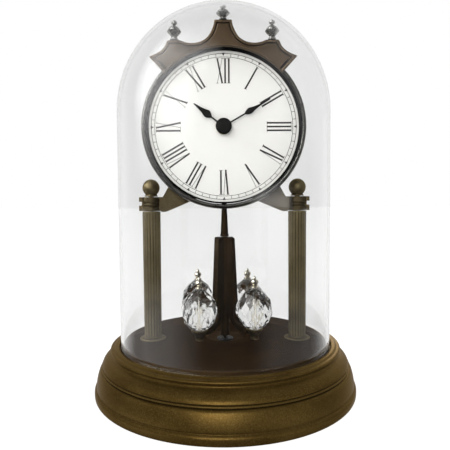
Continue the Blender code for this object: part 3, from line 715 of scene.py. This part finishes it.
def hands():
    """Hour hand, minute hand and the button that covers their hubs."""
    at = (0, 0, DIAL_Z)
    hub, thick = 3.5, 0.35
    for name, node, body, shape, angle, y in (
            ("hour_pointer", "hour_hand", "hour_train", (20.8, 12.0, 2.15, 0.45, hub),
             HOUR_ANGLE, -18.7),
            ("minute_pointer", "minute_hand", "minute_train", (29.6, 17.0, 1.75, 0.40, hub),
             MINUTE_ANGLE, -19.6)):
        loop = turned(hand_loop(*shape), angle)
        piece(name, [slab(loop, y, y + thick, at=at)], BLACK, body, [node], bevel=0.07)
    cap = [(0, -20.3), (3.5, -20.3), (4.1, -20.4), (4.38, -20.65), (4.4, -20.95), (4.2, -21.25),
           (3.8, -21.45), (3.0, -21.58), (1.5, -21.68), (0, -21.7)]
    piece("hand_button", [lathe(cap, 64, "y", at)], BLACK, "minute_train",
          ["hand_cap"], angle=50)


# ------------------------------------------------------------------ pendulum
def pendulum():
    """Stem, four-finned body with its arms and centre rod, and four crystals."""
    at = (0, PEND_Y, 0)
    stem = [(0, 88.9), (2.3, 88.9), (2.45, 89.05), (2.45, 90.1), (2.3, 90.3), (2.15, 90.5),
            (2.12, 92.4), (1.86, 98.0), (1.62, 103.6), (1.62, 104.2), (1.5, 104.5),
            (1.5, 117.0), (0, 117.0)]
    piece("stem_rod", [lathe(stem, 40, at=at)], BRONZE_DARK, "pendulum",
          ["pendulum_stem"])
    upper = smooth_line([(8.8, 51.6), (7.8, 50.6), (7.1, 47.0), (7.2, 43.5), (8.2, 40.8),
                         (11.0, 38.9), (14.0, 38.2), (16.9, 37.9)], 2)
    lower = smooth_line([(16.9, 34.8), (12.6, 35.0), (8.2, 37.1), (5.0, 40.7), (2.2, 45.5)], 2)
    half = [(0.0, 88.3), (5.7, 88.3), (6.3, 88.0), (6.6, 87.4), (7.6, 70.0), (8.55, 53.4)]
    half += upper + lower + [(0.0, 45.5)]
    half_fin = 1.35
    fins = [45 + ORBIT_TURN + 90 * k for k in range(4)]
    parts = [slab(half, -half_fin, half_fin, turn=fin, at=at) for fin in fins]
    rod = [(0, 29.2), (0.6, 29.2), (0.8, 29.4), (0.8, 31.0), (2.2, 31.0), (2.45, 31.3),
           (2.45, 50.0), (2.45, 88.3), (2.2, 88.6), (0, 88.6)]
    parts.append(lathe(rod, 36, at=at))
    piece("arm_body", parts, BRONZE_DARK, "pendulum", ["pendulum_body"],
          bevel=0.3)
    for k, fin in enumerate(fins, 1):
        a = math.radians(fin)
        crystal_set(k, (ORBIT_R * math.cos(a), PEND_Y + ORBIT_R * math.sin(a), 0))


def faceted(rings, n, at, phase=0.0):
    """Stone of staggered rings: flat kite-shaped facets, flat ends."""
    verts, rows, faces = [], [], []
    for i, (r, h) in enumerate(rings):
        row = []
        for k in range(n):
            a = 2 * math.pi * (k + 0.5 * (i % 2)) / n + phase
            row.append(len(verts))
            verts.append((at[0] + r * math.cos(a), at[1] + r * math.sin(a), h))
        rows.append(row)
    for i in range(len(rows) - 1):
        a, b = rows[i], rows[i + 1]
        for k in range(n):
            j = (k + 1) % n
            if i % 2 == 0:
                faces += [[a[k], a[j], b[k]], [a[j], b[j], b[k]]]
            else:
                faces += [[a[k], b[j], b[k]], [a[k], a[j], b[j]]]
    faces.append(list(reversed(rows[0])))
    faces.append(list(rows[-1]))
    return verts, faces


def crystal_set(k, at):
    """Cup, stone, the pin down its middle and its turned cap."""
    cup = [(0, 32.6), (2.1, 32.6), (2.3, 32.8), (2.3, 34.7), (2.5, 35.1), (3.2, 35.9),
           (4.0, 37.1), (4.7, 38.2), (4.72, 38.5), (4.5, 38.7), (4.1, 38.6), (2.0, 37.6),
           (0, 37.5)]
    piece("crystal_cup_%d" % k, [lathe(cup, 32, at=at)], BRONZE_BRACKET, "pendulum",
          ["cup_%d" % k])
    rings = [(2.3, 38.1), (5.6, 39.8), (8.2, 42.7), (9.8, 46.9), (9.95, 51.0), (8.7, 54.8),
             (6.0, 58.2), (2.5, 61.0)]
    ob = piece("stone_%d" % k, [faceted(rings, FACETS, at, 0.4 * k)], CRYSTAL, "pendulum",
               ["crystal_%d" % k], angle=1, mark=False)
    ob.visible_shadow = False
    pin = [(0, 37.8), (0.7, 37.8), (0.7, 61.2), (0, 61.2)]
    piece("stone_pin_%d" % k, [lathe(pin, 20, at=at)], SILVER, "pendulum")
    cap = [(0, 61.3), (2.1, 61.3), (2.35, 61.5), (2.3, 61.85), (2.0, 62.05), (1.45, 62.3),
           (1.25, 62.6), (1.3, 62.9), (1.6, 63.2), (2.0, 63.7), (2.2, 64.2), (2.22, 64.6),
           (2.1, 65.1), (1.8, 65.6), (1.3, 66.0), (0.9, 66.2), (0.8, 66.5), (0.95, 66.8),
           (0.85, 67.2), (0.5, 67.6), (0, 67.9)]
    piece("stone_cap_%d" % k, [lathe(cap, 32, at=at)], SILVER, "pendulum",
          ["crystal_cap_%d" % k])


# ------------------------------------------------------------------ carried CAD nodes
CARRIED = {
    "case_drum": PLASTIC, "crest_strap": STEEL, "movement_case": PLASTIC,
    "movement_cover": PLASTIC, "circuit_board": BOARD, "coil": COPPER, "hand_nut": BRASS,
    "minute_arbor": BRASS, "hour_wheel": WHITE_PLASTIC, "idler_wheel": WHITE_PLASTIC,
    "set_knob": PLASTIC, "contact_plus": SILVER, "contact_minus": SILVER,
    "tie_rod_left": STEEL, "tie_rod_right": STEEL, "rod_nut_left": STEEL,
    "rod_nut_right": STEEL, "case_screw_left": STEEL, "case_screw_right": STEEL,
}


def carried():
    """Gives the kept CAD nodes their finished materials."""
    for name, mat in CARRIED.items():
        ob = nodes[name]
        for s in ob.material_slots:
            s.material = mat


def round_off():
    """Rounds the edges of the mouldings at the back."""
    for name, width in (("movement_case", 0.45), ("case_drum", 0.4), ("movement_cover", 0.35),
                        ("set_knob", 0.2)):
        weld = nodes[name].modifiers.new("weld", "WELD")
        weld.merge_threshold = 1e-6
        bevel = nodes[name].modifiers.new("round_off", "BEVEL")
        bevel.width, bevel.segments = width * MM, 2
        bevel.limit_method, bevel.angle_limit = "ANGLE", math.radians(40)
        bevel.harden_normals = True


def cover_screws():
    """Four cross-headed screws in the corners of the movement cover."""
    back, long, short = COVER_BACK, 1.0, 0.16
    heads, slots = [], []
    for x in (-24.4, 24.4):
        for z in (125.6, 156.0):
            head = [(0, back - 0.4), (1.7, back - 0.4), (1.75, back + 0.15), (1.5, back + 0.5),
                    (0.9, back + 0.72), (0, back + 0.8)]
            heads.append(lathe(head, 28, "y", (x, 0, z)))
            for wide, tall in ((long, short), (short, long)):
                bar = [(x - wide, z - tall), (x + wide, z - tall), (x + wide, z + tall),
                       (x - wide, z + tall)]
                slots.append(slab(bar, back + 0.5, back + 0.81))
    piece("cover_screws", heads, STEEL, "clock_frame")
    piece("cover_screw_slots", slots, PRINT, "clock_frame", mark=False)


def cover_moulding():
    """Arrow round the setting knob and five ribs, raised on the movement cover."""
    low, high = COVER_BACK - 0.2, COVER_BACK + 0.3
    outer, inner, middle = 8.1, 7.3, 7.7
    sweep = arc(0, KNOB_Z, outer, 40, 125, 16) + arc(0, KNOB_Z, inner, 125, 40, 16)
    tip = math.radians(38)
    x, z = middle * math.cos(tip), KNOB_Z + middle * math.sin(tip)
    barb = [(x - 1.3, z + 0.2), (x + 1.5, z + 1.3), (x + 0.9, z - 2.1)]
    moulded = [slab(sweep, low, high), slab(barb, low, high)]
    half_rib, rib_tall, rib_pitch = 12.0, 0.7, 1.8
    for k in range(5):
        z = 127.5 + rib_pitch * k
        rib = [(-half_rib, z), (half_rib, z), (half_rib, z + rib_tall), (-half_rib, z + rib_tall)]
        moulded.append(slab(rib, low, high + 0.05))
    piece("cover_moulding", moulded, PLASTIC, "clock_frame", bevel=0.08)


def cell():
    """AA cell lying across the movement: sleeve, gold band and metal ends."""
    at = (0, CELL_Y, CELL_Z)
    sleeve = [(0, -23.9), (6.5, -23.9), (6.85, -24.1), (7.02, -23.8), (7.05, -23.4),
              (7.05, 22.6), (7.0, 23.1), (6.8, 23.4), (6.4, 23.3), (0, 23.2)]
    piece("cell_sleeve", [lathe(sleeve, 48, "x", at)], WRAP, "battery",
          ["battery_cell"])
    band = [(6.9, 11.0), (7.07, 11.1), (7.08, 22.4), (6.9, 22.5)]
    piece("cell_band", [lathe(band, 48, "x", at)], BRASS, "battery", mark=False)
    plus = [(0, 23.1), (6.3, 23.1), (6.3, 23.5), (5.6, 23.75), (3.0, 23.8), (2.75, 23.9),
            (2.7, 24.7), (2.5, 24.9), (0, 24.9)]
    minus = [(0, -23.8), (6.4, -23.8), (6.3, -24.2), (4.6, -24.3), (4.4, -24.55), (0, -24.6)]
    piece("cell_ends", [lathe(end, 40, "x", at) for end in (plus, minus)], STEEL, "battery")


# ------------------------------------------------------------------ studio
DEEP_GLASS = (5.0, 6.0)                     # glass surfaces passed once a crystal is crossed
SURROUND_SEEN, SURROUND_THROUGH = 1.0, 0.96     # surroundings seen directly, through glass
FLOOR_SEEN, FLOOR_THROUGH = 0.96, 0.70          # glow of the floor, the same two ways
MIRRORED_GLOW = 0.02                        # share of that glow left in its mirror image
FLOOR_HALF = 6.0                            # metres, as are all places below
AIM = (0, 0, 0.08)
WHITE = (1, 1, 1)


def area(name, at, size, glow, colour=WHITE):
    """Soft rectangular light; glow is how bright its face is, whatever its size."""
    light = bpy.data.lights.new(name, "AREA")
    light.shape, light.size, light.size_y = "RECTANGLE", size[0], size[1]
    light.energy, light.color = glow * math.pi * size[0] * size[1], colour
    ob = bpy.data.objects.new(name, light)
    ob.location = at
    ob.rotation_euler = (Vector(AIM) - Vector(at)).to_track_quat("-Z", "Y").to_euler()
    ob.visible_camera = False
    bpy.context.scene.collection.objects.link(ob)
    return ob


def leave_out(light, things):
    """Makes a light reach everything but these things."""
    group = bpy.data.collections.new(light.name + "_reach")
    for ob in things:
        group.objects.link(ob)
    light.light_linking.receiver_collection = group
    for member in group.collection_objects:
        member.light_linking.link_state = "EXCLUDE"


def around(azimuth, distance, z):
    """A place at this many degrees to the right of the front, seen from above."""
    a = math.radians(azimuth)
    return (distance * math.sin(a), -distance * math.cos(a), z)


def join(tree, *values, kind="MULTIPLY"):
    """Multiplies, or with kind ADD adds up, sockets and numbers."""
    total = values[0]
    for value in values[1:]:
        total = put(tree, "ShaderNodeMath", p_operation=kind, i0=total, i1=value).outputs[0]
    return total


def window(tree, value, a, b, c, d, high=1.0):
    """Rises from a to b and falls from c to d."""
    return join(tree, remap(tree, value, a, b, 0.0, high), remap(tree, value, c, d, 1.0, 0.0))


def room(tree, passed):
    """What reflections see by direction: bright backdrop behind, soft panels at the sides."""
    axes = tree.nodes.new("ShaderNodeSeparateXYZ")
    tree.links.new(tree.nodes.new("ShaderNodeTexCoord").outputs["Generated"], axes.inputs[0])
    x, y, z = (axes.outputs[k] for k in "XYZ")
    side = put(tree, "ShaderNodeMath", p_operation="ABSOLUTE", i0=x).outputs[0]
    hollow = join(tree, window(tree, z, 0.15, 0.22, 0.50, 0.65),
                  remap(tree, side, 0.22, 0.40, 1.0, 0.0), remap(tree, passed, 3.0, 4.0))
    backdrop = join(tree, remap(tree, y, 0.15, 0.65, 0.0, 0.90),
                    remap(tree, hollow, 0, 1, 1.0, 0.05))
    left = join(tree, window(tree, y, -0.90, -0.70, 0.0, 0.30), remap(tree, x, 0.0, -0.30),
                window(tree, z, 0.03, 0.22, 0.75, 0.95),
                remap(tree, passed, 0.0, 2.0, 0.5, 5.4))
    left_low = join(tree, window(tree, y, -0.90, -0.50, 0.0, 0.30, 1.4),
                    remap(tree, x, -0.25, -0.50), window(tree, z, -0.50, -0.40, -0.25, -0.15))
    right = join(tree, window(tree, y, -0.92, -0.80, -0.42, -0.26, 1.9),
                 remap(tree, x, 0.20, 0.40), window(tree, z, -0.15, -0.03, 0.0, 0.04))
    right_low = join(tree, window(tree, y, -0.90, -0.60, 0.0, 0.30, 0.6),
                     remap(tree, x, 0.35, 0.60), window(tree, z, -0.50, -0.40, -0.25, -0.15))
    right_high = join(tree, window(tree, y, -0.75, -0.50, 0.20, 0.60, 0.40),
                      remap(tree, x, 0.30, 0.60), window(tree, z, 0.05, 0.20, 0.75, 0.95))
    faint = 0.02
    return join(tree, backdrop, left, left_low, right, right_low, right_high, faint, kind="ADD")


def surroundings():
    """Even where seen directly or through glass, the room where seen in a reflection."""
    world = bpy.data.worlds.new("studio")
    bpy.context.scene.world = world
    world.use_nodes = True
    tree = world.node_tree
    tree.nodes.clear()
    path = tree.nodes.new("ShaderNodeLightPath")
    bounces = put(tree, "ShaderNodeMath", p_operation="ADD", p_use_clamp=True,
                  i0=path.outputs["Diffuse Depth"], i1=path.outputs["Glossy Depth"]).outputs[0]
    passed = path.outputs["Transmission Depth"]
    reflected = join(tree, bounces, remap(tree, passed, *DEEP_GLASS, 1.0, 0.0))
    even = remap(tree, passed, 0.0, 1.0, SURROUND_SEEN, SURROUND_THROUGH)
    shade = blend_colour(tree, reflected, even, room(tree, passed))
    back = put(tree, "ShaderNodeBackground", Color=shade)
    out = tree.nodes.new("ShaderNodeOutputWorld")
    tree.links.new(back.outputs[0], out.inputs["Surface"])


def floor_sheet():
    """Pale floor. Gloss doesn't see it directly; by way of gloss and glass it shows nearly
    black in front of the clock's middle and pale behind it."""
    mat, tree, shader = new_material("pale_floor")
    tone = blend_colour(tree, noise(tree, 3.0), (0.24, 0.24, 0.24), (0.26, 0.26, 0.26))
    path = tree.nodes.new("ShaderNodeLightPath")
    ahead = tree.nodes.new("ShaderNodeSeparateXYZ")
    tree.links.new(tree.nodes.new("ShaderNodeTexCoord").outputs["Object"], ahead.inputs[0])
    passed = path.outputs["Transmission Depth"]
    mirrored = join(tree, remap(tree, path.outputs["Glossy Depth"], 0.0, 1.0),
                    remap(tree, passed, *DEEP_GLASS, 1.0, 0.0),
                    remap(tree, ahead.outputs["Y"], -0.05, 0.05, 1.0, 0.0))
    tone = blend_colour(tree, mirrored, tone, (0.0, 0.0, 0.0))
    tree.links.new(tone, shader.inputs["Base Color"])
    glow = join(tree, remap(tree, passed, 0.0, 1.0, FLOOR_SEEN, FLOOR_THROUGH),
                remap(tree, mirrored, 0.0, 1.0, 1.0, MIRRORED_GLOW))
    tree.links.new(glow, shader.inputs["Emission Strength"])
    set_plain(shader, 0.0, Roughness=0.9, Emission_Color=(*WHITE, 1))
    mesh = bpy.data.meshes.new("floor")
    s = FLOOR_HALF
    mesh.from_pydata([(-s, -s, 0), (s, -s, 0), (s, s, 0), (-s, s, 0)], [], [(0, 1, 2, 3)])
    mesh.materials.append(mat)
    floor = bpy.data.objects.new("floor", mesh)
    bpy.context.scene.collection.objects.link(floor)
    floor.visible_glossy = False
    return floor


def studio(bell):
    """Surroundings, floor and five soft lights, none of which reaches the bell."""
    bpy.context.scene.view_settings.view_transform = "Standard"
    surroundings()
    floor = floor_sheet()
    plate = bpy.data.objects["plate_disc"]
    leave_out(area("rear_fill", (0.35, 1.15, 0.45), (0.6, 0.6), 3.0), [bell, plate, floor])
    warm = (1.0, 0.96, 0.90)
    for name, at, size, glow, colour in (
            ("key_front", (-0.12, -1.20, 0.40), (0.55, 0.50), 8.4, warm),
            ("fill_left", around(-75, 1.1, 0.4), (0.4, 0.7), 0.5, WHITE),
            ("top_soft", (0.0, -0.15, 1.3), (1.0, 1.0), 0.5, WHITE),
            ("back_soft", (0.2, 0.9, 1.3), (0.7, 0.6), 1.5, WHITE)):
        leave_out(area(name, at, size, glow, colour), [bell])


def camera():
    """Camera in front, level with the clock's middle and tipped slightly down."""
    sensor, focal = 36.0, 38.56                 # millimetres
    place, tilt, roll = (0, -0.285, 0.111), 87.0, -0.38
    shift, frame_width = 0.6, 450
    data = bpy.data.cameras.new("camera")
    data.sensor_width, data.lens = sensor, focal
    data.shift_x, data.clip_start = shift / frame_width, 0.01
    ob = bpy.data.objects.new("camera", data)
    ob.matrix_world = (Matrix.Translation(place)
                       @ Matrix.Rotation(math.radians(tilt), 4, "X")
                       @ Matrix.Rotation(math.radians(roll), 4, "Z"))
    bpy.context.scene.collection.objects.link(ob)
    bpy.context.scene.camera = ob


camera()
base()
studio(dome())
columns()
bezel()
dial_print()
crest()
urns()
hands()
pendulum()
carried()
round_off()
cover_screws()
cover_moulding()
cell()
